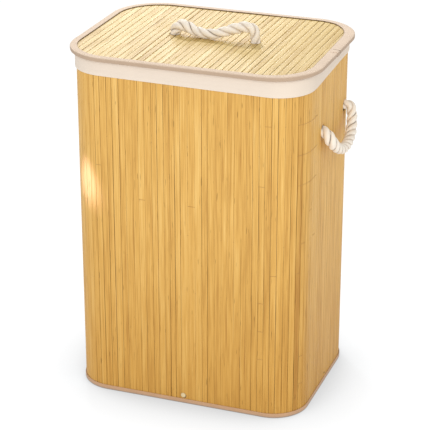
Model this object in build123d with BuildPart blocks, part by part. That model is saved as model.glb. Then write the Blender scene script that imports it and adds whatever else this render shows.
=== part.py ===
from build123d import *

import math
import os

# Laundry hamper with a hinged lid, in millimetres.
# The origin is on the floor at the centre of the footprint. +Z is up, -Y is the front.

# Body: a mat of upright slats bent round a rounded rectangle
BODY_WIDTH = 400
BODY_DEPTH = 300
BODY_CORNER = 60
SLAT_THICK = 2.0
SLAT_GAP = 0.35
SLAT_FOOT = 1.0
SLAT_TOP = 590.0
FRONT_SLATS = 26
SIDE_SLATS = 17
CORNER_SLATS = 9
CORNER_SLAT_THICK = 1.75
BACKING_THICK = 0.8
SKIN_GAP = 0.02

# Rows of thread that tie the slats together
THREAD_FIRST = 56
THREAD_PITCH = 51
THREAD_ROWS = 11
THREAD_OUT = 0.35
THREAD_HEIGHT = 0.6

# Cloth tapes over the mat's two edges, and the hoops inside them
TAPE_THICK = 0.8
BOTTOM_TAPE_OUT = 1.0
BOTTOM_TAPE_HEIGHT = 8.0
TOP_TAPE_DEPTH = 8.0
HOOP_THICK = 3.0
BOTTOM_HOOP = (1.2, 20.0)
TOP_HOOP = (566.0, 588.0)
RIVET_HEIGHT = 14.8
RIVET_HEAD = 3.5
RIVET_HEAD_HEIGHT = 1.2
RIVET_HEAD_TAPER = 30
RIVET_SHANK = 1.5

# Base, corner rods and their sockets
BASE_CLOTH_THICK = 0.8
BASE_BOARD = (0.8, 4.8)
BOARD_GAP = 0.2
ROD_RADIUS = 4.0
ROD_CHAMFER = 0.8
ROD_ENDS = (4.9, 587.5)
SOCKET_RADIUS = 5.3
SOCKET_BORE = 4.1
SOCKET_LENGTH = 19.0
SOCKET_CAP = 1.5
SOCKET_END_GAP = 0.1

# Liner: a cotton bag whose cuff folds out over the rim
CLOTH = 0.9
LINER_INSET = 6.9
LINER_CORNER = 81
LINER_FLOOR = 5.0
CUFF_OUT = 1.8
CUFF_HEM = 564.7
CUFF_TOP = 591.8
PAD_SIZE = (60.0, 10.0)
PAD_HEIGHT = 573.0
PAD_THICK = 0.42

# Lid
LID_WIDTH = 425.6
LID_DEPTH = 328.0
LID_CORNER = 84
LID_BOTTOM = 592.7
LID_TOP = 600.0
LID_TAPE = 0.7
LID_TAPE_LAP = 12.0
LID_SLAT_COUNT = 38
LID_SLAT_GAP = 0.4
LID_SLAT_TOP = 598.1
LID_SLAT_THICK = 2.0
LID_BOARD = (593.4, 596.0)
LID_LINING = (592.8, 593.3)
LID_EDGE_GAP = 0.2
LID_LINING_GAP = 0.3
LID_UNDER_GAP = 0.1

# Hinge straps: two strips of webbing at the back
STRAP_WIDTH = 60.0
STRAP_PLACES = (-110.0, 110.0)
STRAP_THICK = 0.6
STRAP_FOOT = 532.0
STRAP_REACH = 40.0
STRAP_STEP = (6.0, 1.0)
STRAP_MAT_GAP = 0.1
STRAP_CUFF_GAP = 0.2
STRAP_TOP_GAP = 0.3

# Rope handles
ROPE = 8.5
ROPE_HOLE = 9.0
KNOT = 20.0
KNOT_ROOM = 0.6
KNOT_GAP = 0.1
WASHER_RADIUS = 14.0
WASHER_THICK = 1.5
WASHER_INSET = 3.9
TAIL_LENGTH = 8.0

# Right handle: the holes are in the right wall, and the rope hangs between its two pivots.
# A point is (out from the slats' face, back from the front, up from the floor).
SIDE_HOLES = ((-38, 478), (86, 478))
SIDE_ROUTE = [
    (9, -38, 478),
    (12, -35.5, 457),
    (19, -19, 436),
    (22, 12, 428),
    (21, 45, 435),
    (17, 68, 451),
    (13, 81, 466),
    (9, 86, 478),
]

# Lid handle: the holes are a little behind the lid's middle
LID_HOLES = ((-70, 5), (70, 5))
LID_PIVOT = 608
LID_ROUTE = [
    (-70, 5, LID_PIVOT),
    (-66, 4.5, 620),
    (-52, 3, 622),
    (-36, -2, 611.5),
    (-12, -8, 608.5),
    (14, -5, 612),
    (34, 2, 620),
    (52, 5, 624),
    (66, 5, 620),
    (70, 5, LID_PIVOT),
]

# Worked out from the sizes above
HALF_WIDTH = BODY_WIDTH / 2
HALF_DEPTH = BODY_DEPTH / 2
STRAIGHT_WIDTH = BODY_WIDTH - 2 * BODY_CORNER
STRAIGHT_DEPTH = BODY_DEPTH - 2 * BODY_CORNER
FRONT_PITCH = STRAIGHT_WIDTH / FRONT_SLATS
SIDE_PITCH = STRAIGHT_DEPTH / SIDE_SLATS
CORNER_STEP = 90 / CORNER_SLATS
CORNER_INSIDE = BODY_CORNER - SLAT_THICK + SKIN_GAP
CORNER_MIDDLE = CORNER_INSIDE + CORNER_SLAT_THICK / 2
CORNER_SLAT_WIDTH = 2 * CORNER_INSIDE * math.tan(math.radians(CORNER_STEP / 2)) - SLAT_GAP
MAT_INSIDE = SLAT_THICK + BACKING_THICK
HOOP_OUTSIDE = MAT_INSIDE + TAPE_THICK
HOOP_INSIDE = HOOP_OUTSIDE + HOOP_THICK
ROD_REACH = (BODY_CORNER - HOOP_INSIDE - SOCKET_RADIUS - BOARD_GAP) / math.sqrt(2)
ROD_X = HALF_WIDTH - BODY_CORNER + ROD_REACH
ROD_Y = HALF_DEPTH - BODY_CORNER + ROD_REACH
WASHER_FACE = HALF_WIDTH - WASHER_INSET
KNOT_X = WASHER_FACE - WASHER_THICK - KNOT_GAP - KNOT
LID_UNDERSIDE = LID_BOTTOM - LID_UNDER_GAP
LID_KNOT_Z = LID_UNDERSIDE - WASHER_THICK - KNOT_GAP - KNOT
LID_PITCH = (LID_WIDTH - 2 * LID_TAPE) / LID_SLAT_COUNT


def body_outline(inset, mode=Mode.ADD, corner=None):
    """The body's outline, moved in from the slats' outer face."""
    radius = BODY_CORNER - inset if corner is None else corner
    RectangleRounded(BODY_WIDTH - 2 * inset, BODY_DEPTH - 2 * inset, radius, mode=mode)


def lid_outline(inset, mode=Mode.ADD):
    """The lid's outline, moved in from its edge."""
    RectangleRounded(LID_WIDTH - 2 * inset, LID_DEPTH - 2 * inset, LID_CORNER - inset, mode=mode)


def body_ring(outside, inside, low, high):
    """A ring between two insets from the slats' outer face."""
    with BuildPart() as ring:
        with BuildSketch(Plane.XY.offset(low)):
            body_outline(outside)
            body_outline(inside, Mode.SUBTRACT)
        extrude(amount=high - low)
    return ring.part


def cut_rope_holes(side=1):
    """Bore one wall's two rope holes through the part being built: 1 is the right wall, -1 the left."""
    with Locations(*[Location((side * HALF_WIDTH, y, z), (0, 90, 0)) for y, z in SIDE_HOLES]):
        Cylinder(ROPE_HOLE, HALF_WIDTH / 2, mode=Mode.SUBTRACT)


def slat_run(plane, count, pitch):
    """A straight run of slats. The plane's x direction lies along the wall, and z points up."""
    with BuildPart() as run:
        with BuildSketch(plane):
            with GridLocations(pitch, 0, count, 1):
                Rectangle(pitch - SLAT_GAP, SLAT_THICK)
        extrude(amount=SLAT_TOP - SLAT_FOOT)
    return run.part


def wall_plane(x, y, turn):
    """A level plane at the slats' feet, with its x direction turned along a wall."""
    return Plane(origin=(x, y, SLAT_FOOT), x_dir=Vector(1, 0, 0).rotate(Axis.Z, turn), z_dir=(0, 0, 1))


def corner_run(x, y, start):
    """The slats that turn one corner, round its centre."""
    with BuildPart() as run:
        with BuildSketch(Plane.XY.offset(SLAT_FOOT)):
            with Locations((x, y)):
                with PolarLocations(CORNER_MIDDLE, CORNER_SLATS, start + CORNER_STEP / 2, 90):
                    Rectangle(CORNER_SLAT_THICK, CORNER_SLAT_WIDTH)
        extrude(amount=SLAT_TOP - SLAT_FOOT)
    return run.part


def rope_tube(route):
    """A rope's tube: straight runs joined by tangent arcs, with a round end at each pivot."""
    points = [Vector(*point) for point in route]
    runs = [b - a for a, b in zip(points, points[1:])]
    radii = []
    for before, after in zip(runs, runs[1:]):
        half_turn = math.radians(before.get_angle(after) / 2)
        radii.append(0.45 * min(before.length, after.length) / math.tan(half_turn))
    with BuildPart() as tube:
        with BuildLine():
            path = FilletPolyline(*points, radius=radii)
        with BuildSketch(Plane(origin=path @ 0, z_dir=path % 0)):
            Circle(ROPE)
        sweep(path=path)
        swept_share = tube.part.volume / (math.pi * ROPE**2 * path.length)
        print("rope radii", [round(r, 1) for r in radii])
        print("rope length", round(path.length, 1))
        print("volume over section times length", round(swept_share, 4))
        with Locations(points[0], points[-1]):
            Sphere(ROPE)
    return tube.part


def side_knots():
    """The right handle's two knots, each with the short length of rope that passes the wall."""
    with BuildPart() as knots:
        with Locations(*[Location((KNOT_X, y, z), (0, 90, 0)) for y, z in SIDE_HOLES]):
            Sphere(KNOT)
        for y, z in SIDE_HOLES:
            with BuildSketch(Plane(origin=(KNOT_X, y, z), z_dir=(1, 0, 0))):
                Circle(ROPE)
            extrude(amount=HALF_WIDTH - KNOT_X)
    return knots.part


def side_washers():
    """The right handle's two washers, between the knots and the mat."""
    with BuildPart() as washers:
        for y, z in SIDE_HOLES:
            with BuildSketch(Plane(origin=(WASHER_FACE, y, z), z_dir=(-1, 0, 0))):
                Circle(WASHER_RADIUS)
                Circle(ROPE_HOLE, mode=Mode.SUBTRACT)
            extrude(amount=WASHER_THICK)
    return washers.part


def left_copy(part):
    """The mirror image of a right-hand part, on the left."""
    return part.mirror(Plane.YZ)


SLAT_MIDDLE = SLAT_THICK / 2

with BuildPart() as front_slats:
    add(slat_run(wall_plane(0, SLAT_MIDDLE - HALF_DEPTH, 0), FRONT_SLATS, FRONT_PITCH))
    with Locations(Location((0, 0, RIVET_HEIGHT), (90, 0, 0))):
        Cylinder(RIVET_SHANK, BODY_DEPTH, align=(Align.CENTER, Align.CENTER, Align.MIN), mode=Mode.SUBTRACT)

with BuildPart() as back_slats:
    add(front_slats.part.mirror(Plane.XZ))

with BuildPart() as right_slats:
    add(slat_run(wall_plane(HALF_WIDTH - SLAT_MIDDLE, 0, 90), SIDE_SLATS, SIDE_PITCH))
    cut_rope_holes()
    with Locations(Location((0, 0, RIVET_HEIGHT), (0, 90, 0))):
        Cylinder(RIVET_SHANK, BODY_WIDTH, align=(Align.CENTER, Align.CENTER, Align.MIN), mode=Mode.SUBTRACT)

with BuildPart() as left_slats:
    add(left_copy(right_slats.part))

with BuildPart() as back_right_corner_slats:
    add(corner_run(HALF_WIDTH - BODY_CORNER, HALF_DEPTH - BODY_CORNER, 0))
    cut_rope_holes()

with BuildPart() as back_left_corner_slats:
    add(left_copy(back_right_corner_slats.part))

with BuildPart() as front_right_corner_slats:
    add(corner_run(HALF_WIDTH - BODY_CORNER, BODY_CORNER - HALF_DEPTH, 270))

with BuildPart() as front_left_corner_slats:
    add(left_copy(front_right_corner_slats.part))

with BuildPart() as mat_backing:
    add(body_ring(SLAT_THICK, MAT_INSIDE, SLAT_FOOT, SLAT_TOP))
    cut_rope_holes()
    cut_rope_holes(-1)
    with Locations(Location((0, 0, RIVET_HEIGHT), (90, 0, 0)), Location((0, 0, RIVET_HEIGHT), (0, 90, 0))):
        Cylinder(RIVET_SHANK, 2 * BODY_WIDTH, mode=Mode.SUBTRACT)

with BuildPart() as mat_threads:
    for row in range(THREAD_ROWS):
        row_height = THREAD_FIRST + row * THREAD_PITCH
        with BuildSketch(Plane.XY.offset(row_height)):
            body_outline(-THREAD_OUT)
            body_outline(-SKIN_GAP, Mode.SUBTRACT)
        extrude(amount=THREAD_HEIGHT)

with BuildPart() as bottom_binding:
    add(body_ring(-BOTTOM_TAPE_OUT, HOOP_OUTSIDE, 0, BOTTOM_TAPE_HEIGHT))
    with BuildSketch(Plane.XY.offset(SLAT_FOOT)):
        body_outline(0)
        body_outline(MAT_INSIDE, Mode.SUBTRACT)
    extrude(amount=BOTTOM_TAPE_HEIGHT, mode=Mode.SUBTRACT)

with BuildPart() as top_binding:
    add(body_ring(-TAPE_THICK, HOOP_OUTSIDE, SLAT_TOP - TOP_TAPE_DEPTH, SLAT_TOP + TAPE_THICK))
    with BuildSketch(Plane.XY.offset(SLAT_TOP - TOP_TAPE_DEPTH)):
        body_outline(0)
        body_outline(MAT_INSIDE, Mode.SUBTRACT)
    extrude(amount=TOP_TAPE_DEPTH, mode=Mode.SUBTRACT)

with BuildPart() as bottom_hoop:
    add(body_ring(HOOP_OUTSIDE, HOOP_INSIDE, *BOTTOM_HOOP))
    with Locations(Location((0, 0, RIVET_HEIGHT), (90, 0, 0)), Location((0, 0, RIVET_HEIGHT), (0, 90, 0))):
        Cylinder(RIVET_SHANK, 2 * BODY_WIDTH, mode=Mode.SUBTRACT)

with BuildPart() as top_hoop:
    add(body_ring(HOOP_OUTSIDE, HOOP_INSIDE, *TOP_HOOP))

with BuildPart() as hoop_rivets:
    for reach, turn in ((HALF_DEPTH, 270), (HALF_WIDTH, 0), (HALF_DEPTH, 90), (HALF_WIDTH, 180)):
        outward = Vector(1, 0, 0).rotate(Axis.Z, turn)
        head = outward * reach + Vector(0, 0, RIVET_HEIGHT)
        with BuildSketch(Plane(origin=head, z_dir=outward)):
            Circle(RIVET_HEAD)
        extrude(amount=RIVET_HEAD_HEIGHT, taper=RIVET_HEAD_TAPER)
        with BuildSketch(Plane(origin=head - outward * HOOP_INSIDE, z_dir=outward)):
            Circle(RIVET_SHANK)
        extrude(amount=HOOP_INSIDE)

with BuildPart() as base_cloth:
    with BuildSketch():
        body_outline(HOOP_OUTSIDE)
    extrude(amount=BASE_CLOTH_THICK)

with BuildPart() as base_board:
    with BuildSketch(Plane.XY.offset(BASE_BOARD[0])):
        body_outline(HOOP_INSIDE + BOARD_GAP)
    extrude(amount=BASE_BOARD[1] - BASE_BOARD[0])

with BuildPart() as support_rods:
    with BuildSketch(Plane.XY.offset(ROD_ENDS[0])):
        with GridLocations(2 * ROD_X, 2 * ROD_Y, 2, 2):
            Circle(ROD_RADIUS)
    extrude(amount=ROD_ENDS[1] - ROD_ENDS[0])
    chamfer(support_rods.faces().filter_by(Axis.Z).edges(), length=ROD_CHAMFER)

with BuildPart() as bottom_rod_sockets:
    with BuildSketch(Plane.XY.offset(ROD_ENDS[0])):
        with GridLocations(2 * ROD_X, 2 * ROD_Y, 2, 2):
            Circle(SOCKET_RADIUS)
            Circle(SOCKET_BORE, mode=Mode.SUBTRACT)
    extrude(amount=SOCKET_LENGTH)

with BuildPart() as top_rod_sockets:
    with BuildSketch(Plane.XY.offset(ROD_ENDS[1] - SOCKET_LENGTH)):
        with GridLocations(2 * ROD_X, 2 * ROD_Y, 2, 2):
            Circle(SOCKET_RADIUS)
            Circle(SOCKET_BORE, mode=Mode.SUBTRACT)
    extrude(amount=SOCKET_LENGTH + SOCKET_END_GAP)
    with BuildSketch(Plane.XY.offset(ROD_ENDS[1] + SOCKET_END_GAP)):
        with GridLocations(2 * ROD_X, 2 * ROD_Y, 2, 2):
            Circle(SOCKET_RADIUS)
    extrude(amount=SOCKET_CAP)

# Each pocket's seam line is turned to the inside of the bag
POCKETS = [Location((KNOT_X, y, z), (0, 0, 180)) for y, z in SIDE_HOLES]
POCKETS += [Location((-KNOT_X, y, z)) for y, z in SIDE_HOLES]

with BuildPart() as liner_space:
    with BuildSketch(Plane.XY.offset(LINER_FLOOR + CLOTH)):
        body_outline(LINER_INSET + CLOTH, corner=LINER_CORNER - CLOTH)
    extrude(amount=CUFF_TOP)
    with Locations(*POCKETS):
        Sphere(KNOT + KNOT_ROOM + CLOTH, mode=Mode.SUBTRACT)

with BuildPart() as liner_bag:
    with BuildSketch(Plane.XY.offset(LINER_FLOOR)):
        body_outline(LINER_INSET, corner=LINER_CORNER)
    extrude(amount=CUFF_TOP - LINER_FLOOR)
    with BuildSketch(Plane.XY.offset(CUFF_HEM)):
        body_outline(-CUFF_OUT)
        body_outline(CLOTH - CUFF_OUT, Mode.SUBTRACT)
    extrude(amount=CUFF_TOP - CUFF_HEM)
    with BuildSketch(Plane.XY.offset(CUFF_TOP - CLOTH)):
        body_outline(-CUFF_OUT)
    extrude(amount=CLOTH)
    add(liner_space.part, mode=Mode.SUBTRACT)
    with Locations(*POCKETS):
        Sphere(KNOT + KNOT_ROOM, mode=Mode.SUBTRACT)

PAD_SPOTS = [(0, -HALF_DEPTH, 270), (HALF_WIDTH, 0, 0), (-HALF_WIDTH, 0, 180), (0, HALF_DEPTH, 90)]

with BuildPart() as cuff_hook_pads:
    for x, y, turn in PAD_SPOTS:
        outward = Vector(1, 0, 0).rotate(Axis.Z, turn)
        spot = Vector(x, y, PAD_HEIGHT) + outward * SKIN_GAP
        with BuildSketch(Plane(origin=spot, x_dir=outward.rotate(Axis.Z, 90), z_dir=outward)):
            Rectangle(*PAD_SIZE)
        extrude(amount=PAD_THICK)

with BuildPart() as cuff_loop_pads:
    for x, y, turn in PAD_SPOTS:
        outward = Vector(1, 0, 0).rotate(Axis.Z, turn)
        spot = Vector(x, y, PAD_HEIGHT) + outward * (2 * SKIN_GAP + PAD_THICK)
        with BuildSketch(Plane(origin=spot, x_dir=outward.rotate(Axis.Z, 90), z_dir=outward)):
            Rectangle(*PAD_SIZE)
        extrude(amount=PAD_THICK)

with BuildPart() as right_handle_knots:
    add(side_knots())

with BuildPart() as left_handle_knots:
    add(left_copy(side_knots()))

with BuildPart() as right_handle_washers:
    add(side_washers())

with BuildPart() as left_handle_washers:
    add(left_copy(side_washers()))

with BuildPart() as right_handle_rope:
    add(rope_tube([(HALF_WIDTH + out, back, up) for out, back, up in SIDE_ROUTE]))

with BuildPart() as left_handle_rope:
    add(left_copy(right_handle_rope.part))

# The strap's lower leaf lies on the slats, steps out over the cuff's hem, and ends at the hinge line
STRAP_ON_MAT = HALF_DEPTH + THREAD_OUT + STRAP_MAT_GAP
STRAP_ON_CUFF = HALF_DEPTH + CUFF_OUT + STRAP_CUFF_GAP
STRAP_TOP = CUFF_TOP - STRAP_TOP_GAP
STEP_FOOT = CUFF_HEM - STRAP_STEP[0]
STEP_HEAD = CUFF_HEM - STRAP_STEP[1]

with BuildPart() as hinge_lower_leaves:
    for place in STRAP_PLACES:
        with BuildSketch(Plane.YZ.offset(place)):
            with BuildLine():
                Polyline(
                    (STRAP_ON_MAT, STRAP_FOOT),
                    (STRAP_ON_MAT + STRAP_THICK, STRAP_FOOT),
                    (STRAP_ON_MAT + STRAP_THICK, STEP_FOOT),
                    (STRAP_ON_CUFF + STRAP_THICK, STEP_HEAD),
                    (STRAP_ON_CUFF + STRAP_THICK, STRAP_TOP),
                    (STRAP_ON_CUFF, STRAP_TOP),
                    (STRAP_ON_CUFF, STEP_HEAD),
                    (STRAP_ON_MAT, STEP_FOOT),
                    close=True,
                )
            make_face()
        extrude(amount=STRAP_WIDTH / 2, both=True)

with BuildPart() as hinge_upper_leaves:
    with BuildSketch(Plane.XY.offset(LID_UNDERSIDE)):
        with Locations(*[(place, STRAP_ON_CUFF - STRAP_REACH / 2) for place in STRAP_PLACES]):
            Rectangle(STRAP_WIDTH, STRAP_REACH)
    extrude(amount=-STRAP_THICK)

with BuildPart() as lid_slats:
    with BuildSketch(Plane.XY.offset(LID_SLAT_TOP - LID_SLAT_THICK)):
        with GridLocations(LID_PITCH, 0, LID_SLAT_COUNT, 1):
            Rectangle(LID_PITCH - LID_SLAT_GAP, LID_DEPTH)
        lid_outline(LID_TAPE + LID_EDGE_GAP, Mode.INTERSECT)
        with Locations(*LID_HOLES):
            Circle(ROPE_HOLE, mode=Mode.SUBTRACT)
    extrude(amount=LID_SLAT_THICK)

with BuildPart() as lid_board:
    with BuildSketch(Plane.XY.offset(LID_BOARD[0])):
        lid_outline(LID_TAPE + LID_EDGE_GAP)
        with Locations(*LID_HOLES):
            Circle(ROPE_HOLE, mode=Mode.SUBTRACT)
    extrude(amount=LID_BOARD[1] - LID_BOARD[0])

with BuildPart() as lid_lining:
    with BuildSketch(Plane.XY.offset(LID_LINING[0])):
        lid_outline(LID_TAPE_LAP + LID_LINING_GAP)
        with Locations(*LID_HOLES):
            Circle(ROPE_HOLE, mode=Mode.SUBTRACT)
    extrude(amount=LID_LINING[1] - LID_LINING[0])

with BuildPart() as lid_binding:
    with BuildSketch(Plane.XY.offset(LID_BOTTOM)):
        lid_outline(0)
        lid_outline(LID_TAPE_LAP, Mode.SUBTRACT)
    extrude(amount=LID_TOP - LID_BOTTOM)
    with BuildSketch(Plane.XY.offset(LID_BOTTOM + LID_TAPE)):
        lid_outline(LID_TAPE)
    extrude(amount=LID_SLAT_TOP - LID_BOTTOM - LID_TAPE, mode=Mode.SUBTRACT)

with BuildPart() as lid_handle_washers:
    with BuildSketch(Plane.XY.offset(LID_UNDERSIDE)):
        with Locations(*LID_HOLES):
            Circle(WASHER_RADIUS)
            Circle(ROPE_HOLE, mode=Mode.SUBTRACT)
    extrude(amount=-WASHER_THICK)

with BuildPart() as lid_handle_knots:
    with Locations(*[(x, y, LID_KNOT_Z) for x, y in LID_HOLES]):
        Sphere(KNOT)
    with BuildSketch(Plane.XY.offset(LID_KNOT_Z - KNOT - TAIL_LENGTH)):
        with Locations(*LID_HOLES):
            Circle(ROPE)
    extrude(amount=LID_SLAT_TOP - LID_KNOT_Z + KNOT + TAIL_LENGTH)

with BuildPart() as lid_handle_rope:
    add(rope_tube(LID_ROUTE))

PARTS = {
    "front_slats": front_slats,
    "right_slats": right_slats,
    "back_slats": back_slats,
    "left_slats": left_slats,
    "front_right_corner_slats": front_right_corner_slats,
    "back_right_corner_slats": back_right_corner_slats,
    "back_left_corner_slats": back_left_corner_slats,
    "front_left_corner_slats": front_left_corner_slats,
    "mat_backing": mat_backing,
    "mat_threads": mat_threads,
    "bottom_binding": bottom_binding,
    "top_binding": top_binding,
    "bottom_hoop": bottom_hoop,
    "top_hoop": top_hoop,
    "hoop_rivets": hoop_rivets,
    "base_cloth": base_cloth,
    "base_board": base_board,
    "support_rods": support_rods,
    "bottom_rod_sockets": bottom_rod_sockets,
    "top_rod_sockets": top_rod_sockets,
    "liner_bag": liner_bag,
    "cuff_hook_pads": cuff_hook_pads,
    "cuff_loop_pads": cuff_loop_pads,
    "right_handle_knots": right_handle_knots,
    "left_handle_knots": left_handle_knots,
    "right_handle_washers": right_handle_washers,
    "left_handle_washers": left_handle_washers,
    "right_handle_rope": right_handle_rope,
    "left_handle_rope": left_handle_rope,
    "hinge_lower_leaves": hinge_lower_leaves,
    "hinge_upper_leaves": hinge_upper_leaves,
    "lid_slats": lid_slats,
    "lid_board": lid_board,
    "lid_lining": lid_lining,
    "lid_binding": lid_binding,
    "lid_handle_washers": lid_handle_washers,
    "lid_handle_knots": lid_handle_knots,
    "lid_handle_rope": lid_handle_rope,
}

os.makedirs("parts", exist_ok=True)
for name, builder in PARTS.items():
    builder.part.label = name
    export_step(builder.part, f"parts/{name}.step")
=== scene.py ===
"""The looks of a bamboo laundry hamper: slats, cloth, rope and light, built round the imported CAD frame."""

import random
from math import atan2, cos, exp, hypot, pi, radians, sin, sqrt, tan, tau

import bmesh
import bpy
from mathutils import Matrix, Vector, noise


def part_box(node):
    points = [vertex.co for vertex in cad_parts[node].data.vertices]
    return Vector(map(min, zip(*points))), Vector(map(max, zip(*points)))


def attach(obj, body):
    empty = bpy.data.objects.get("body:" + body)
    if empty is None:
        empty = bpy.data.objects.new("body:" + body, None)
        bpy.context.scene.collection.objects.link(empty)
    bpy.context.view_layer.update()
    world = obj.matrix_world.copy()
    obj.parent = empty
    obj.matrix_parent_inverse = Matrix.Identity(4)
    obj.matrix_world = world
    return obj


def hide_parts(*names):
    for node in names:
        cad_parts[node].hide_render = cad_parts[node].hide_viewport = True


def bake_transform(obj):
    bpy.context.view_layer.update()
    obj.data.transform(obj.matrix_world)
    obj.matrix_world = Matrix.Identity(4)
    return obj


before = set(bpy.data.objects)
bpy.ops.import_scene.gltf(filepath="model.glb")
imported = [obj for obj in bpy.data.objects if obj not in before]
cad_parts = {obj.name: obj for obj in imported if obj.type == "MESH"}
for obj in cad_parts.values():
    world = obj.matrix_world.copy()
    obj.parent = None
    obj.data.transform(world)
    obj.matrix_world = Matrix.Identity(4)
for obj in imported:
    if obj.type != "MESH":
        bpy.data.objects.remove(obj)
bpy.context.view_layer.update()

MM = 0.001
RIGHT = Vector((1, 0, 0))
BACK = Vector((0, 1, 0))
UP = Vector((0, 0, 1))

# Places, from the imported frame
FACE_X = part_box("right_slats")[1].x
FACE_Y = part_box("back_slats")[1].y
SLAT_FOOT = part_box("front_slats")[0].z
SLAT_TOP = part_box("front_slats")[1].z
BODY_CORNER = 60 * MM
CUFF_HEM = 564.7 * MM
CUFF_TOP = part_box("liner_bag")[1].z
LINER_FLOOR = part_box("liner_bag")[0].z
LID_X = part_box("lid_binding")[1].x
LID_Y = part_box("lid_binding")[1].y
LID_CORNER = 84 * MM
LID_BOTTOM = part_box("lid_binding")[0].z
LID_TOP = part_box("lid_binding")[1].z
LID_SLAT_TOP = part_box("lid_slats")[1].z
SIDE_HOLES = [Vector((FACE_X, y * MM, 478 * MM)) for y in (-38, 86)]
LID_HOLES = [Vector((x * MM, 5 * MM, LID_SLAT_TOP)) for x in (-70, 70)]
SIDES = (("right", 1), ("left", -1))


def beside(x, sign):
    """Places level with the side handle's holes, at an x on the right (1) or left (-1)."""
    return [Vector((sign * x, hole.y, hole.z)) for hole in SIDE_HOLES]


def add(name, data):
    """Makes an object and links it into the scene."""
    made = bpy.data.objects.new(name, data)
    bpy.context.scene.collection.objects.link(made)
    return made


# ---- camera and light

CAMERA_TARGET = Vector((-13.72, 42.86, 265.72)) * MM
CAMERA_AZIMUTH = radians(20.12)
CAMERA_ELEVATION = radians(23.23)
CAMERA_DISTANCE = 3.0
CAMERA_LENS = 145.17

WORLD_STRENGTH = 0.7

# Disc lamps: name, place, target, size, watts, tint
LAMPS = (
    ("key_lamp", (-0.9, 1.3, 1.9), (0, 0, 0.6), 0.28, 20, (1, 1, 1)),
    ("sheen_lamp", (-0.59, 1.44, 1.23), (-0.08, 0.06, 0.6), 0.5, 5, (1, 1, 1)),
    ("front_lamp", (0.7, -2.5, 1.4), (0, 0, 0.4), 1.6, 27, (1, 1, 1)),
    ("right_lamp", (1.6, -0.3, 1.8), (0.2, 0, 0.6), 0.9, 3, (1, 0.9, 0.7)),
)
# A narrow bluish spot for the bright patch on the front left corner
WINDOW_PLACE = (-0.382, -0.348, 0.798)
WINDOW_TARGET = (-0.172, -0.148, 0.388)
WINDOW_WATTS = 46
WINDOW_TINT = (0.46, 0.43, 1)
WINDOW_ANGLE = radians(5.4)


def aim(thing, place, target):
    """Puts a camera or lamp at a place, looking at a target."""
    thing.location = place
    thing.rotation_mode = "QUATERNION"
    thing.rotation_quaternion = (Vector(target) - Vector(place)).to_track_quat("-Z", "Y")


def make_camera():
    data = bpy.data.cameras.new("camera")
    data.lens = CAMERA_LENS
    data.sensor_width = 36
    data.clip_end = 20
    camera = add("camera", data)
    level = cos(CAMERA_ELEVATION)
    across, away = sin(CAMERA_AZIMUTH) * level, -cos(CAMERA_AZIMUTH) * level
    back = Vector((across, away, sin(CAMERA_ELEVATION)))
    aim(camera, CAMERA_TARGET + back * CAMERA_DISTANCE, CAMERA_TARGET)
    bpy.context.scene.camera = camera


def make_light():
    world = bpy.data.worlds.new("studio")
    bpy.context.scene.world = world
    world.use_nodes = True
    background = world.node_tree.nodes["Background"]
    background.inputs["Color"].default_value = (1, 1, 1, 1)
    background.inputs["Strength"].default_value = WORLD_STRENGTH
    for name, place, target, size, watts, tint in LAMPS:
        data = bpy.data.lights.new(name, "AREA")
        data.shape, data.size = "DISK", size
        data.energy, data.color = watts, tint
        aim(add(name, data), place, target)
    window = bpy.data.lights.new("window_lamp", "SPOT")
    window.energy, window.color = WINDOW_WATTS, WINDOW_TINT
    window.spot_size, window.spot_blend = WINDOW_ANGLE, 0.7
    window.shadow_soft_size = 0.01
    aim(add("window_lamp", window), WINDOW_PLACE, WINDOW_TARGET)
    bpy.context.scene.view_settings.view_transform = "Standard"


make_camera()
make_light()


# ---- materials

def put(tree, socket, value):
    """Links or sets one input."""
    if isinstance(value, bpy.types.NodeSocket):
        tree.links.new(value, socket)
    else:
        socket.default_value = value


def node(tree, kind, inputs=None, **settings):
    made = tree.nodes.new("ShaderNode" + kind)
    for key, value in settings.items():
        setattr(made, key, value)
    for key, value in (inputs or {}).items():
        put(tree, made.inputs[key], value)
    return made


def calc(tree, operation, *values):
    return node(tree, "Math", dict(enumerate(values)), operation=operation).outputs[0]


def remap(tree, value, low, high, to_low=0, to_high=1):
    inputs = {"Value": value, "From Min": low, "From Max": high, "To Min": to_low, "To Max": to_high}
    return node(tree, "MapRange", inputs).outputs[0]


def cloud(tree, vector, scale, detail=2, roughness=0.5):
    """A noise texture's value. scale is one number, or three to stretch the noise by."""
    if isinstance(scale, tuple):
        vector = node(tree, "VectorMath", {0: vector, 1: scale}, operation="MULTIPLY").outputs[0]
        scale = 1
    inputs = {"Vector": vector, "Scale": scale, "Detail": detail, "Roughness": roughness}
    return node(tree, "TexNoise", inputs).outputs[0]


def patchy(tree, vector, scale, detail=2, roughness=0.5, low=0):
    """Noise with its middle range spread out from low to 1."""
    return remap(tree, cloud(tree, vector, scale, detail, roughness), 0.3, 0.7, low, 1)


def ramp(tree, value, stops):
    made = node(tree, "ValToRGB", {0: value})
    points = made.color_ramp.elements
    while len(points) < len(stops):
        points.new(0.5)
    for point, (place, colour) in zip(points, stops):
        point.position = place
        point.color = (*colour, 1)
    return made.outputs[0]


def mix(tree, share, a, b, blend_type="MIX"):
    made = node(tree, "Mix", {0: share}, data_type="RGBA", blend_type=blend_type)
    for socket, value in zip(made.inputs[6:8], (a, b)):
        put(tree, socket, (*value, 1) if isinstance(value, tuple) else value)
    return made.outputs[2]


def mix_in(tree, colour, other, value, *span):
    """Mixes in another colour by a value, remapped over a span: for grain and marks, and for painted shade."""
    return mix(tree, remap(tree, value, *span), colour, other)


def times(tree, a, b):
    return calc(tree, "MULTIPLY", a, b)


def attribute(tree, name, output="Vector"):
    return node(tree, "Attribute", attribute_name=name).outputs[output]


def parts_of(tree, vector):
    return node(tree, "SeparateXYZ", {0: vector}).outputs[:3]


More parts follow.
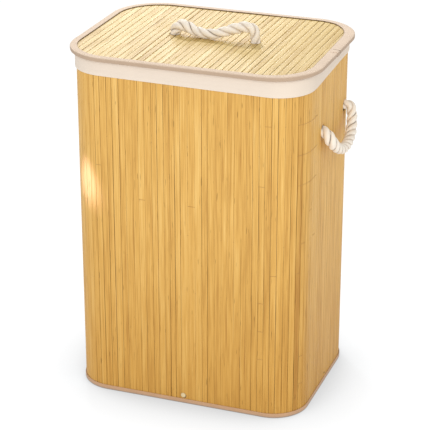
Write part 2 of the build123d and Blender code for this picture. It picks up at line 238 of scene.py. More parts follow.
def object_place(tree):
    return node(tree, "TexCoord").outputs["Object"]


def bump(tree, height, distance, strength):
    return node(tree, "Bump", {"Height": height, "Distance": distance, "Strength": strength}).outputs[0]


def new_material(name):
    made = bpy.data.materials.new(name)
    made.use_nodes = True
    return made, made.node_tree


def finish_material(made, **inputs):
    """Sets the Principled shader's inputs, named with underscores for spaces."""
    shader = made.node_tree.nodes["Principled BSDF"]
    for key, value in inputs.items():
        put(made.node_tree, shader.inputs[key.replace("_", " ")], value)
    return made


def tinted(colour, factor):
    return tuple(min(1, channel * factor) for channel in colour)


# How high the painted shade at the body's foot reaches
FOOT_SHADE_TOP = 0.36


def bamboo(name, dark, middle, light, contrast=1, foot_shade=None, gloss=0.2, rough=0.45):
    """Split bamboo. "grain" holds how far across and along a slat a point is, and the slat's own tone.

    "edge" is 1 at a slat's edges, where runs of painted shade stand for the gaps between slats.
    The foot tint is painted shade: it darkens the foot of the body, up to the height set above.
    """
    made, tree = new_material(name)
    grain = attribute(tree, "grain")
    tone = parts_of(tree, grain)[2]
    edge = attribute(tree, "edge", "Fac")
    bands = patchy(tree, grain, (190, 3, 31), low=-1)
    streaks = patchy(tree, grain, (640, 11, 43), 3, 0.6, low=-1)
    fibres = cloud(tree, grain, (2400, 18, 57), 2, 0.6)
    patches = patchy(tree, grain, (60, 9, 23), low=-1)
    shade = calc(tree, "MULTIPLY_ADD", calc(tree, "SUBTRACT", tone, 0.5), 0.2 * contrast, 0.5)
    for part, weight in ((bands, 0.12), (streaks, 0.26), (patches, 0.09)):
        shade = calc(tree, "MULTIPLY_ADD", part, weight * contrast, shade)
    colour = ramp(tree, shade, [(0.15, dark), (0.5, middle), (0.85, light)])
    colour = mix_in(tree, colour, dark, fibres, 0.35, 0.65, 0.22 * contrast, 0)
    hairs = cloud(tree, grain, (700, 13, 77))
    colour = mix_in(tree, colour, tinted(dark, 0.8), hairs, 0.62, 0.72, 0, 0.45 * contrast)
    flecks = cloud(tree, grain, (470, 34, 91), 1)
    colour = mix_in(tree, colour, tinted(dark, 0.45), flecks, 0.71, 0.77, 0, 0.6)
    # Painted shade for the gaps between slats: dark along slat edges, in runs that come and go along a slat
    open_run = remap(tree, cloud(tree, grain, (20, 7, 13), 1), 0.46, 0.62, 0.05, 1)
    gap_shade = times(tree, remap(tree, edge, 0.8, 1, 0, 0.7), open_run)
    colour = mix(tree, gap_shade, colour, tinted(dark, 0.4))
    # Painted shade: the body darkens towards its foot
    if foot_shade:
        height = parts_of(tree, object_place(tree))[2]
        colour = mix(tree, remap(tree, height, 0, FOOT_SHADE_TOP, 0.9, 0), colour, foot_shade, "MULTIPLY")
    relief = calc(tree, "MULTIPLY_ADD", streaks, 0.35, fibres)
    return finish_material(
        made, Base_Color=colour, Roughness=remap(tree, streaks, -1, 1, rough + 0.07, rough - 0.05),
        Normal=bump(tree, relief, 0.1 * MM, 0.6), Specular_IOR_Level=gloss,
    )


def cloth(name, colour, pitch, mottle=0.08, depth=0.06, on_cad=False, side=None, painted_shadow=None):
    """Plain-woven cloth with threads a pitch apart. On a CAD node it has the object's own coordinates.

    Where "edge" is a half the cloth takes its side colour, painted shade for a band turned from the light,
    and where it is 1 a dark painted shadow, at lips and folds.
    """
    made, tree = new_material(name)
    along = object_place(tree) if on_cad else attribute(tree, "grain")
    turns = pi / pitch
    waves = [calc(tree, "SINE", times(tree, part, turns)) for part in parts_of(tree, along)]
    weave = times(tree, waves[0], waves[1])
    if on_cad:
        weave = calc(tree, "ADD", weave, waves[2])
    slubs = cloud(tree, along, (90, 900, 400), 3, 0.6)
    stains = patchy(tree, along, 28, 3)
    shade = calc(tree, "ADD", times(tree, stains, 0.6), times(tree, slubs, 0.4))
    tone = mix(tree, shade, tinted(colour, 1 - mottle), tinted(colour, 1 + mottle * 0.6))
    tone = mix_in(tree, tone, tinted(colour, 0.55), weave, -1, 0.2, 0.16, 0)
    # Painted shade on the band turned from the light, and painted shadow where edge is 1
    if side:
        edge = attribute(tree, "edge", "Fac")
        tone = mix_in(tree, tone, mix(tree, shade, tinted(side, 0.9), side), edge, 0, 0.5, 0, 1)
        tone = mix_in(tree, tone, painted_shadow, edge, 0.6, 1, 0, 1)
    relief = calc(tree, "MULTIPLY_ADD", slubs, 0.8, weave)
    return finish_material(
        made, Base_Color=tone, Roughness=remap(tree, slubs, 0.3, 0.7, 0.8, 0.95),
        Normal=bump(tree, relief, depth * MM, 0.8), Sheen_Weight=0.15, Specular_IOR_Level=0.2,
    )


def rope_cotton(name, colour, groove_shade, deep_groove_dark):
    """Twisted cotton. "grain" holds the way along the rope and the angle round it; "edge" is 1 in its grooves, which
    get painted shade.
    """
    made, tree = new_material(name)
    grain = attribute(tree, "grain")
    groove = attribute(tree, "edge", "Fac")
    round_it = parts_of(tree, grain)[1]
    place = object_place(tree)
    wander = cloud(tree, grain, (60, 3, 5))
    yarn = calc(tree, "SINE", calc(tree, "MULTIPLY_ADD", wander, 5, times(tree, round_it, 34)))
    fuzz = cloud(tree, place, 1400, 3, 0.7)
    stains = patchy(tree, place, 55)
    tone = mix(tree, stains, tinted(colour, 0.94), tinted(colour, 1.03))
    tone = mix_in(tree, tone, tinted(colour, 0.72), yarn, -1, -0.2, 0.12, 0)
    # Painted shade in the grooves between strands
    tone = mix_in(tree, tone, groove_shade, groove, 0.6, 1, 0, 0.55)
    # Dark patches in the deepest parts of the grooves
    marked = remap(tree, cloud(tree, place, 65, 1), 0.5, 0.56)
    deepest = remap(tree, groove, 0.86, 0.97, 0, 0.85)
    tone = mix(tree, times(tree, marked, deepest), tone, deep_groove_dark)
    relief = calc(tree, "MULTIPLY_ADD", fuzz, 0.5, yarn)
    return finish_material(
        made, Base_Color=tone, Roughness=remap(tree, fuzz, 0.3, 0.7, 0.75, 0.95),
        Normal=bump(tree, relief, 0.16 * MM, 0.8), Sheen_Weight=0.2, Specular_IOR_Level=0.2,
    )


def plain_wood(name, dark, light):
    """Wood for the CAD pieces, its grain along Z."""
    made, tree = new_material(name)
    place = object_place(tree)
    streaks = patchy(tree, place, (420, 420, 14), 3, 0.6)
    fibres = cloud(tree, place, (2200, 2200, 60))
    colour = mix(tree, streaks, dark, light)
    colour = mix_in(tree, colour, tinted(dark, 0.7), fibres, 0.4, 0.6, 0.2, 0)
    return finish_material(
        made, Base_Color=colour, Roughness=remap(tree, streaks, 0, 1, 0.62, 0.5),
        Normal=bump(tree, fibres, 0.15 * MM, 0.7),
    )


def fibreboard(name, dark, light):
    """Pressed fibreboard, speckled with short fibres."""
    made, tree = new_material(name)
    place = object_place(tree)
    specks = cloud(tree, place, 900, 4, 0.7)
    patches = patchy(tree, place, 30, 3)
    colour = mix(tree, patches, dark, light)
    colour = mix_in(tree, colour, tinted(light, 1.25), specks, 0.5, 0.62, 0, 0.5)
    return finish_material(
        made, Base_Color=colour, Roughness=remap(tree, specks, 0.3, 0.7, 0.7, 0.85),
        Normal=bump(tree, specks, 0.1 * MM, 0.6),
    )


def moulded_plastic(name, colour):
    """Matt moulded plastic with a fine spark-eroded skin."""
    made, tree = new_material(name)
    place = object_place(tree)
    skin = cloud(tree, place, 2500)
    patches = patchy(tree, place, 60, 3)
    return finish_material(
        made, Base_Color=mix(tree, patches, tinted(colour, 0.93), tinted(colour, 1.03)),
        Roughness=remap(tree, patches, 0, 1, 0.42, 0.55), Normal=bump(tree, skin, 0.05 * MM, 0.5),
    )


# The body's bamboo, with painted shade at its foot
BODY_BAMBOO = bamboo(
    "body_bamboo", (0.47, 0.235, 0.055), (0.735, 0.43, 0.115), (0.87, 0.575, 0.2), contrast=0.75,
    foot_shade=(0.79, 0.7, 0.52), gloss=0.12,
)
LID_BAMBOO = bamboo(
    "lid_bamboo", (0.46, 0.29, 0.085), (0.67, 0.48, 0.175), (0.8, 0.63, 0.3), contrast=0.95, gloss=0.38, rough=0.52
)
COTTON = cloth("cream_cotton", (0.79, 0.68, 0.57), 0.55 * MM, 0.03, 0.03)
# The lid tape: its own colour, the painted shade of its side band, and the painted shadow at its lap's lip
LID_TAPE = cloth(
    "lid_tape", (0.73, 0.575, 0.44), 0.8 * MM, 0.07, 0.08, side=(0.5, 0.365, 0.26), painted_shadow=(0.16, 0.1, 0.05)
)
# The bottom tape: its own colour, with painted shade towards its lower edge
TAN_TAPE = cloth("tan_tape", (0.57, 0.345, 0.2), 0.8 * MM, 0.12, 0.08, side=(0.36, 0.27, 0.21), painted_shadow=(0.2, 0.14, 0.1))
THREAD = cloth("thread", (0.48, 0.26, 0.08), 0.3 * MM, 0.15, 0.03)
STITCH = cloth("stitch_thread", (0.78, 0.66, 0.54), 0.3 * MM, 0.05, 0.03)
# Rope colours: the cotton, the painted shade of its grooves, and the dark patches deep in its grooves
ROPE = rope_cotton("cotton_rope", (0.93, 0.85, 0.74), (0.42, 0.28, 0.17), (0.09, 0.07, 0.06))
WEBBING = cloth("strap_webbing", (0.62, 0.48, 0.36), 1.1 * MM, 0.06, 0.16)
# The backing cloth, darkened as painted shade for the gaps between slats where it shows
BACKING_AND_GAP_SHADE = cloth("backing_cloth", (0.30, 0.19, 0.10), 0.9 * MM, 0.1, 0.08, on_cad=True)
TOP_TAPE = cloth("top_tape", (0.56, 0.37, 0.25), 0.8 * MM, 0.1, 0.08, on_cad=True)
BASE_CLOTH = cloth("base_fabric", (0.58, 0.50, 0.40), 0.8 * MM, 0.08, 0.08, on_cad=True)
LINING = cloth("lining_fabric", (0.82, 0.73, 0.62), 0.7 * MM, 0.05, 0.06, on_cad=True)
HOOK_TAPE = cloth("hook_tape", (0.80, 0.74, 0.64), 1.2 * MM, 0.05, 0.3, on_cad=True)
HOOP_WOOD = plain_wood("hoop_wood", (0.48, 0.30, 0.14), (0.62, 0.42, 0.22))
ROD_WOOD = plain_wood("rod_wood", (0.58, 0.38, 0.18), (0.72, 0.52, 0.28))
BOARD = fibreboard("fibreboard", (0.20, 0.11, 0.05), (0.30, 0.18, 0.09))
WASHER = moulded_plastic("washer_plastic", (0.74, 0.68, 0.58))
SOCKET = moulded_plastic("socket_plastic", (0.76, 0.71, 0.62))
RIVET = moulded_plastic("cream_rivet", (0.68, 0.54, 0.30))
DARK_NAIL_AND_SHADOW = moulded_plastic("brown_nail_and_shadow", (0.16, 0.08, 0.03))


# ---- meshes

class Build:
    """Collects grids of points into one mesh, with the material's own coordinates at each face corner."""

    def __init__(self):
        self.points, self.faces, self.grain, self.edge = [], [], [], []

    def grid(self, rows, coords, wrap_rows=False, wrap_columns=False, caps=False):
        """Adds a grid. coords has (x, y, z, edge) for each point, and one more row or column where it wraps."""
        first, count, width = len(self.points), len(rows), len(rows[0])
        for row in rows:
            self.points.extend(row)
        for i in range(count if wrap_rows else count - 1):
            for j in range(width if wrap_columns else width - 1):
                corners = ((i, j), (i, j + 1), (i + 1, j + 1), (i + 1, j))
                self.faces.append([first + r % count * width + c % width for r, c in corners])
                self.tag(coords[r][c] for r, c in corners)
        if caps:
            for r in (0, count - 1):
                self.faces.append([first + r * width + c for c in range(width)])
                self.tag(coords[r][c] for c in range(width))

    def tube(self, rows, coords):
        self.grid(rows, coords, wrap_columns=True, caps=True)

    def tag(self, coords):
        for x, y, z, edge in coords:
            self.grain.extend((x, y, z))
            self.edge.append(edge)

    def object(self, name, material, sharp=50):
        mesh = bpy.data.meshes.new(name)
        mesh.from_pydata(self.points, [], self.faces)
        mesh.attributes.new("grain", "FLOAT_VECTOR", "CORNER").data.foreach_set("vector", self.grain)
        mesh.attributes.new("edge", "FLOAT", "CORNER").data.foreach_set("value", self.edge)
        mesh.materials.append(material)
        shell = bmesh.new()
        shell.from_mesh(mesh)
        bmesh.ops.recalc_face_normals(shell, faces=shell.faces)
        shell.to_mesh(mesh)
        shell.free()
        mesh.polygons.foreach_set("use_smooth", [True] * len(mesh.polygons))
        mesh.set_sharp_from_angle(angle=radians(sharp))
        return add(name, mesh)


def keep(piece, body, slot, *nodes):
    """Rides a finished piece on its body, in place of CAD nodes."""
    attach(piece, body)
    if nodes:
        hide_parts(*nodes)


def bake_modifiers(piece):
    """Puts what the modifiers make into the mesh itself."""
    graph = bpy.context.evaluated_depsgraph_get()
    made = bpy.data.meshes.new_from_object(piece.evaluated_get(graph))
    piece.modifiers.clear()
    piece.data = made


def thicken(piece, thickness, offset=0):
    """Gives an open sheet its thickness."""
    thick = piece.modifiers.new("thick", "SOLIDIFY")
    thick.thickness = thickness
    thick.offset = offset
    bake_modifiers(piece)


def circle(centre, side, other, radius, sides):
    """Points round a centre, in the plane of two directions."""
    turns = [tau * k / sides for k in range(sides)]
    return [centre + (side * cos(t) + other * sin(t)) * radius for t in turns]


BORE_SIDES = 40
BORE_REACH = 6 * MM


def bore(piece, centres, axis, radius):
    """Cuts round holes through a piece."""
    cutters = Build()
    side = axis.orthogonal().normalized()
    other = axis.cross(side)
    for centre in centres:
        ends = [centre + axis * reach for reach in (-BORE_REACH, BORE_REACH)]
        rows = [circle(end, side, other, radius, BORE_SIDES) for end in ends]
        cutters.tube(rows, [[(0, 0, 0, 0)] * (BORE_SIDES + 1)] * 2)
    cutter = cutters.object("cutter", BACKING_AND_GAP_SHADE)
    cut = piece.modifiers.new("holes", "BOOLEAN")
    cut.object = cutter
    cut.operation = "DIFFERENCE"
    cut.solver = "EXACT"
    bake_modifiers(piece)
    bpy.data.objects.remove(cutter)


class Outline:
    """A rounded rectangle in plan, anticlockwise from the front end of its right side."""

    SHORT_STEPS, LONG_STEPS, CORNER_STEPS = 26, 40, 14

    def __init__(self, half_x, half_y, corner, fine=1):
        a, b = half_x - corner, half_y - corner
        centres = [Vector((a, -b)), Vector((a, b)), Vector((-a, b)), Vector((-a, -b)), Vector((a, -b))]
        self.points, self.normals, self.along = [], [], []
        for side in range(4):
            turn = side * pi / 2
            out = Vector((cos(turn), sin(turn)))
            steps = (self.LONG_STEPS if side % 2 else self.SHORT_STEPS) * fine
            for k in range(steps):
                self.points.append(centres[side].lerp(centres[side + 1], k / steps) + out * corner)
                self.normals.append(out)
            bends = self.CORNER_STEPS * fine
            for k in range(bends):
                swing = turn + pi / 2 * k / bends
                out = Vector((cos(swing), sin(swing)))
                self.points.append(centres[side + 1] + out * corner)
                self.normals.append(out)
        total = 0.0
        for here, there in zip(self.points, self.points[1:] + self.points[:1]):
            self.along.append(total)
            total += (there - here).length
        self.along.append(total)
        self.count = len(self.points)

    def at(self, i, inset, height):
        point = self.points[i] - self.normals[i] * inset
        return Vector((point.x, point.y, height))


def ring(outline, profile, ripple, edges):
    """Sweeps a closed profile of (inset, height) round an outline.

    ripple gives a small (inset, height) to add at a place, and edges the "edge" of each point of the profile.
    """
    build = Build()
    across = [0.0]
    loop = profile + profile[:1]
    for (a, b), (c, d) in zip(loop, loop[1:]):
        across.append(across[-1] + hypot(c - a, d - b))
    rows, coords = [], []
    for i in range(outline.count + 1):
        row = []
        for inset, height in profile:
            more = ripple(outline.at(i % outline.count, 0, 0), inset, height)
            row.append(outline.at(i % outline.count, inset + more[0], height + more[1]))
        rows.append(row)
        coords.append([(outline.along[i], t, 0, e) for t, e in zip(across, edges + edges[:1])])
    build.grid(rows[:-1], coords, wrap_rows=True, wrap_columns=True)
    return build


# ---- rope

ROPE_RADIUS = 8.5 * MM
STRAND_REACH = 0.35  # a strand's middle and its radius, as shares of the rope's radius
STRAND_RADIUS = 0.65
STRAND_POINTS = 12


def route_line(points, step=1.2 * MM):
    """Points evenly along the smooth line that a cord's route controls."""
    curve = bpy.data.curves.new("route", "CURVE")
    curve.dimensions = "3D"
    curve.resolution_u = 24
    spline = curve.splines.new("NURBS")
    spline.points.add(len(points) - 1)
    for control, point in zip(spline.points, points):
        control.co = (*point, 1)
    spline.order_u = 3
    spline.use_endpoint_u = True
    holder = add("route", curve)
    mesh = bpy.data.meshes.new_from_object(holder)
    line = [vertex.co.copy() for vertex in mesh.vertices]
    bpy.data.objects.remove(holder)
    bpy.data.meshes.remove(mesh)
    return evenly(line, step)


def evenly(line, step):
    """The same line, with its points a step apart."""
    lengths = [0.0]
    for here, there in zip(line, line[1:]):
        lengths.append(lengths[-1] + (there - here).length)
    count = max(2, round(lengths[-1] / step))
    made, k = [], 0
    for i in range(count + 1):
        want = lengths[-1] * i / count
        while k < len(line) - 2 and lengths[k + 1] < want:
            k += 1
        share = (want - lengths[k]) / max(lengths[k + 1] - lengths[k], 1e-9)
        made.append(line[k].lerp(line[k + 1], share))
    return made


def line_length(line):
    return sum((there - here).length for here, there in zip(line, line[1:]))


def tangent_at(line, i, closed=False):
    after = line[(i + 1) % len(line)] if closed else line[min(i + 1, len(line) - 1)]
    before = line[i - 1] if closed or i else line[0]
    return (after - before).normalized()


def rope(build, line, radius=ROPE_RADIUS, closed=False, phase=0.0, lay=48 * MM, swell=lambda share: 1.0):
    """Adds three-strand rope along a line, right-hand laid. swell gives its thickness, as a share, along the line."""
    sides = 3 * STRAND_POINTS
    count = len(line)
    tangents = [tangent_at(line, i, closed) for i in range(count)]
    side = tangents[0].orthogonal().normalized()
    frames = []
    for tangent in tangents:
        side = (side - tangent * side.dot(tangent)).normalized()
        frames.append((side, tangent.cross(side)))
    total = line_length(line + line[:1] if closed else line)
    turns = total / lay
    slip = 0.0
    if closed:  # the twist has to meet itself
        last, first = frames[-1], frames[0]
        carried = (last[0] - tangents[0] * last[0].dot(tangents[0])).normalized()
        slip = atan2(carried.dot(first[1]), carried.dot(first[0]))
        turns = round(3 * turns) / 3
    rows, coords = [], []
    for i in range(count + (1 if closed else 0)):
        share = i / (count if closed else count - 1)
        twist = phase + tau * turns * share - slip * share
        thick = radius * swell(share)
        side, other = frames[i % count]
        row, tags = [], []
        for j in range(sides + 1):
            strand, part = divmod(j, STRAND_POINTS)
            away = radians(120 * part / STRAND_POINTS - 60)
            sweep = STRAND_REACH * sin(away)
            reach = thick * (STRAND_REACH * cos(away) + sqrt(STRAND_RADIUS**2 - sweep**2))
            turn = twist + radians(120 * strand) + away
            row.append(line[i % count] + (side * cos(turn) + other * sin(turn)) * reach)
            groove = abs(away) / radians(60)
            tags.append((share * total, turn, strand % 3, groove))
        rows.append(row[:-1])
        coords.append(tags)
    if closed:
        build.grid(rows[:-1], coords, wrap_rows=True, wrap_columns=True)
    else:
        build.tube(rows, coords)


SIDE_ROUTE = [
    (186, -38, 478), (199, -38, 477), (206, -40, 475), (212, -43.5, 470), (217, -41.5, 459.5), (220.5, -20, 442),
    (222, 6, 433), (222, 30, 432.5), (220, 55, 437), (217.5, 71, 445), (215.5, 80, 455), (213.5, 86.5, 466),
    (210, 88.5, 479.5), (200, 86.5, 481), (186, 86, 479),
]
LID_ROUTE = [
    (-70, 5, 583), (-70, 5, 597), (-69.5, 5, 603), (-66, 4.5, 609), (-60, 3.5, 613.5), (-52, 2.5, 615),
    (-44, 0.5, 612.5), (-32, -2, 608.5), (-18, -5, 607), (-6, -6, 607), (6, -5, 608.5), (17, -2, 611.5),
    (28, 1, 615.5), (39, 3.5, 619), (51, 5, 622), (64, 5, 622), (70, 5, 613), (69.5, 5, 604), (70, 5, 596),
    (70, 5, 583),
]


def swollen(*spots):
    """How thick the rope is along its length: it swells by a share round each spot, where its strands open."""
    def swell(share):
        return 1 + sum(more * exp(-(((share - spot) / wide) ** 2)) for spot, wide, more in spots)
    return swell


def handle_rope(name, route, body, child, exit_point, start, end, **lie):
    """One rope handle, laid along its route in place of the CAD rope."""
    line = route_line([Vector(point) * MM for point in route])
    build = Build()
    rope(build, line, **lie)
    piece = build.object(name, ROPE, 70)
    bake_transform(piece)
    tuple(start)
    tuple(end)
    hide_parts(name.replace("_laid", "_rope"))
    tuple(exit_point)
    line_length(line)


SIDE_LIE = {"phase": 0.4, "lay": 45 * MM, "swell": swollen((0.17, 0.1, 0.2), (0.45, 0.12, 0.08), (0.7, 0.12, 0.12))}
LID_LIE = {"phase": 1.9, "lay": 56 * MM, "swell": swollen((0.2, 0.1, 0.18), (0.7, 0.12, 0.12))}

for side, sign in SIDES:
    handle_rope(
        side + "_handle_laid", [(sign * x, y, z) for x, y, z in SIDE_ROUTE], "basket", side + "_handle",
        beside(FACE_X, sign)[0], (sign * 0.200, 0, 0.484), (sign * 0.212, 0, 0.470), **SIDE_LIE,
    )
handle_rope(
    "lid_handle_laid", LID_ROUTE, "lid", "lid_handle", LID_HOLES[0], (0, 0.005, 0.598), (0, 0.0002, 0.6044), **LID_LIE
)


KNOT_ROPE = 6.8 * MM
KNOT_SWING = 9.0 * MM
KNOT_WEAVE = 4.5 * MM
KNOT_RISE = 7.0 * MM
KNOT_POINTS = 180
KNOT_BEHIND = 14 * MM  # from a washer's inner face to its knot's middle
SIDE_TAIL = 24 * MM


def knot(build, centre, axis, tail):
    """An overhand stopper knot, with its tail pointing away along the axis."""
    side = axis.orthogonal().normalized()
    other = axis.cross(side)
    loop = []
    for k in range(KNOT_POINTS):
        t = tau * k / KNOT_POINTS
        reach = KNOT_SWING + KNOT_WEAVE * cos(3 * t)
        flat = side * cos(2 * t) + other * sin(2 * t)
        loop.append(centre + flat * reach + axis * (KNOT_RISE * sin(3 * t)))
    rope(build, evenly(loop + loop[:1], 1.4 * MM)[:-1], KNOT_ROPE, closed=True)
    bend = side * 1.5 * MM
    stub = [centre, centre + axis * tail * 0.35 + bend, centre + axis * tail * 0.7 + bend, centre + axis * tail]
    rope(build, route_line(stub, 1.4 * MM), ROPE_RADIUS * 0.94)


def knots(name, places, axis, tail, body):
    build = Build()
    for place in places:
        knot(build, place, axis, tail)
    keep(build.object(name + "_laid", ROPE, 70), body, "cotton_rope", name)


SIDE_KNOT_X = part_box("right_handle_washers")[0].x - KNOT_BEHIND
LID_KNOT_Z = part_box("lid_handle_washers")[0].z - KNOT_BEHIND
LID_TAIL = LID_KNOT_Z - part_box("lid_handle_knots")[0].z
for side, sign in SIDES:
    knots(side + "_handle_knots", beside(SIDE_KNOT_X, sign), RIGHT * -sign, SIDE_TAIL, "basket")
knots("lid_handle_knots", [Vector((hole.x, hole.y, LID_KNOT_Z)) for hole in LID_HOLES], -UP, LID_TAIL, "lid")


# ---- slats

SLAT_THICK = 2 * MM
CORNER_SLAT_THICK = 1.75 * MM
SLAT_EDGE = 0.22 * MM
SLAT_CROWN = 0.05 * MM
SLAT_STEPS = 18
WALL_COUNTS = {"right": 17, "back": 26, "left": 17, "front": 26}
CORNER_COUNT = 9
HOLE_RADIUS = 9 * MM
TIGHT_GAP = 0.12


def uneven(rng, count, total, spread):
    """Widths that differ a little and add up to the total."""
    sizes = [1 + rng.uniform(-spread, spread) for _ in range(count)]
    return [size * total / sum(sizes) for size in sizes]


# Slats that stand out, by run and place in it: the slat's tone, and the gap beside it in mm
ODD_SLATS = {
    "front_right_corner_slats": {1: (0.4, 0.5), 4: (0.5, 0.55), 5: (-0.6, 0.75), 6: (0.45, 0.55)},
    "front_slats": {
        1: (0.15, 0.7), 8: (0.4, 0.7), 9: (1.0, 0.5), 12: (0.45, 0.6), 16: (0.3, 0.6), 24: (0.4, 0.7),
    },
}


def gap(rng):
    """The gap beside a slat in mm: mostly tight, now and then open."""
    luck = rng.random()
    if luck < 0.72:
        return rng.uniform(0.04, TIGHT_GAP)
    if luck < 0.93:
        return rng.uniform(TIGHT_GAP, 3 * TIGHT_GAP)
    return rng.uniform(4 * TIGHT_GAP, 7 * TIGHT_GAP)


def section(half, thick, tilt):
    """A slat's section, anticlockwise from its back: (across, out, how near the edge)."""
    bevel = 0.3 * SLAT_EDGE
    right = [
        (half, -thick, 1), (half, -SLAT_EDGE - SLAT_CROWN, 1), (half - bevel, -bevel - SLAT_CROWN, 0.9),
        (half - 1.3 * SLAT_EDGE, -SLAT_CROWN, 0.5), (0.6 * half, -0.03 * MM, 0.2),
    ]
    shape = [(-u, w, e) for u, w, e in right] + [(0, 0, 0)] + right[::-1]
    return [(u, w if w == -thick else w - abs(tilt) * half + tilt * u, e) for u, w, e in shape]


def slat(build, rng, place, half, ends, thick, steps, tone=None):
    """One slat. place(across, along, out) gives a point, and ends(across) its two ends."""
    luck, shift, start = rng.random(), rng.random(), rng.random()
    tone = luck if tone is None else tone
    swing, turn = rng.uniform(0.02, 0.12) * MM, rng.uniform(0, tau)
    thin, thin_turn = rng.uniform(0.0, 0.3) ** 2 * 3 * MM, rng.uniform(0, tau)
    tilt = rng.uniform(-0.012, 0.012)
    rows, coords = [], []
    for k in range(steps + 1):
        share = k / steps
        middle = swing * sin(turn + 4.6 * share)
        width = half - thin * (0.5 + 0.5 * sin(thin_turn + 7.9 * share))
        row, tags = [], []
        for u, w, e in section(width, thick, tilt):
            low, high = ends(u + middle)
            v = low + (high - low) * share
            row.append(place(u + middle, v, w))
            tags.append((u + shift, v + start, tone, e))
        rows.append(row)
        coords.append(tags + tags[:1])
    build.tube(rows, coords)


mat = []


def split_run(name, sizes, thick, seat, rng):
    """One run of the mat. seat(gone, size) gives a slat's place function and half its width with its gap."""
    build = Build()
    gone = 0.0
    for number, size in enumerate(sizes):
        place, half = seat(gone, size)
        gone += size
        tone, opening = ODD_SLATS.get(name, {}).get(number, (None, gap(rng)))
        half -= opening * MM / 2
        slat(build, rng, place, half, lambda u: (SLAT_FOOT, SLAT_TOP), thick, SLAT_STEPS, tone)
        mat.append((name, place, half))
    return build.object(name + "_split", BODY_BAMBOO, 35)


def wall_seat(start, along, out):
    """Slats side by side along a wall."""
    def seat(gone, width):
        middle = start + along * (gone + width / 2)
        return lambda u, v, w: middle + along * u + out * w + UP * v, width / 2
    return seat


def corner_seat(centre, start):
    """Slats side by side round a corner."""
    inside = BODY_CORNER - SLAT_THICK

    def seat(gone, angle):
        swing = start + gone + angle / 2
        out = Vector((cos(swing), sin(swing), 0))
        along = Vector((-out.y, out.x, 0))
        face = inside + CORNER_SLAT_THICK
        return lambda u, v, w: centre + out * (face + w) + along * u + UP * v, inside * tan(angle / 2)
    return seat


# The runs that the side handles' holes touch, and their side
SIDE_RUNS = {"right_slats": 1, "back_right_corner_slats": 1, "left_slats": -1, "back_left_corner_slats": -1}


def make_mat():
    """The body's slats: four walls, each with the corner after it, anticlockwise from the right."""
    rng = random.Random(11)
    a, b = FACE_X - BODY_CORNER, FACE_Y - BODY_CORNER
    walls = (
        ("right", "back_right", RIGHT, BACK, FACE_X, b), ("back", "back_left", BACK, -RIGHT, FACE_Y, a),
        ("left", "front_left", -RIGHT, -BACK, FACE_X, b), ("front", "front_right", -BACK, RIGHT, FACE_Y, a),
    )
    runs = {}
    for quarter, (wall, corner, out, along, face, half_run) in enumerate(walls):
        start = out * face - along * half_run
        widths = uneven(rng, WALL_COUNTS[wall], 2 * half_run, 0.16)
        name = wall + "_slats"
        runs[name] = split_run(name, widths, SLAT_THICK, wall_seat(start, along, out), rng)
        centre = out * (face - BODY_CORNER) + along * half_run
        angles = uneven(rng, CORNER_COUNT, pi / 2, 0.12)
        name = corner + "_corner_slats"
        seat = corner_seat(centre, quarter * pi / 2)
        runs[name] = split_run(name, angles, CORNER_SLAT_THICK, seat, rng)
    for name, sign in SIDE_RUNS.items():
        bore(runs[name], beside(FACE_X, sign), RIGHT, HOLE_RADIUS)
    for name, piece in runs.items():
        keep(piece, "basket", "body_bamboo", name)


make_mat()


def lid_reach(x, inset):
    """How far back the lid goes at an x, less an inset."""
    corner = LID_CORNER - inset
    past = min(max(abs(x) - (LID_X - LID_CORNER), 0.0), corner)
    return LID_Y - LID_CORNER + sqrt(corner**2 - past**2)


LID_COUNT = 38


def make_lid_slats():
    rng = random.Random(5)
    inset = 0.9 * MM  # inside the lid's outline
    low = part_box("lid_slats")[0].x
    build = Build()
    total = low
    for width in uneven(rng, LID_COUNT, -2 * low, 0.09):
        middle = total + width / 2
        total += width

        def place(u, v, w, middle=middle):
            return Vector((middle + u, v, LID_SLAT_TOP + w))

        def ends(u, middle=middle):
            reach = lid_reach(middle + u, inset)
            return -reach, reach

        opening = (rng.uniform(0.45, 0.7) if rng.random() < 0.55 else rng.uniform(0.8, 1.4)) * MM
        slat(build, rng, place, width / 2 - opening / 2, ends, SLAT_THICK, 16)
    piece = build.object("lid_slats_split", LID_BAMBOO, 35)
    bore(piece, LID_HOLES, UP, HOLE_RADIUS)
    keep(piece, "lid", "lid_bamboo", "lid_slats")


make_lid_slats()


# ---- threads

THREAD_RADIUS = 0.3 * MM
THREAD_FIRST = 56 * MM
THREAD_ROWS = 11
THREAD_PITCH = 51 * MM
THREAD_SIDES = 6


def bead(build, line):
    """A thin round thread along a line, closed at its ends."""
    rows, coords = [], []
    for i, point in enumerate(line):
        side = tangent_at(line, i).cross(UP).normalized()
        rows.append(circle(point, side, UP, THREAD_RADIUS, THREAD_SIDES))
        coords.append([(i * MM, k * THREAD_RADIUS, 0, 0) for k in range(THREAD_SIDES + 1)])
    build.tube(rows, coords)


# A thread's way over a slat, or in the nick beside it: (across in half widths, out in mm)
OVER_SLAT = [(-1.02, -0.9), (-0.98, -0.1), (-0.9, 0.08), (0, 0.12), (0.9, 0.08), (0.98, -0.1), (1.02, -0.9)]
IN_NICK = [(0.9, -0.35), (0.97, 0.0), (1.03, 0.05), (1.09, 0.0), (1.16, -0.35)]


def thread_chance(name, spot, row):
    """How often a thread shows over a slat: most on the right side's front end and by the front right corner."""
    if 0.128 < spot.x < 0.158 and spot.y < -0.12:
        return 0.4
    if spot.x > 0.184 and -0.13 < spot.y < -0.07:
        return 1.0 if row > 6 else 0.15
    return 0.3 if "corner" in name and spot.y > 0 else 0.006


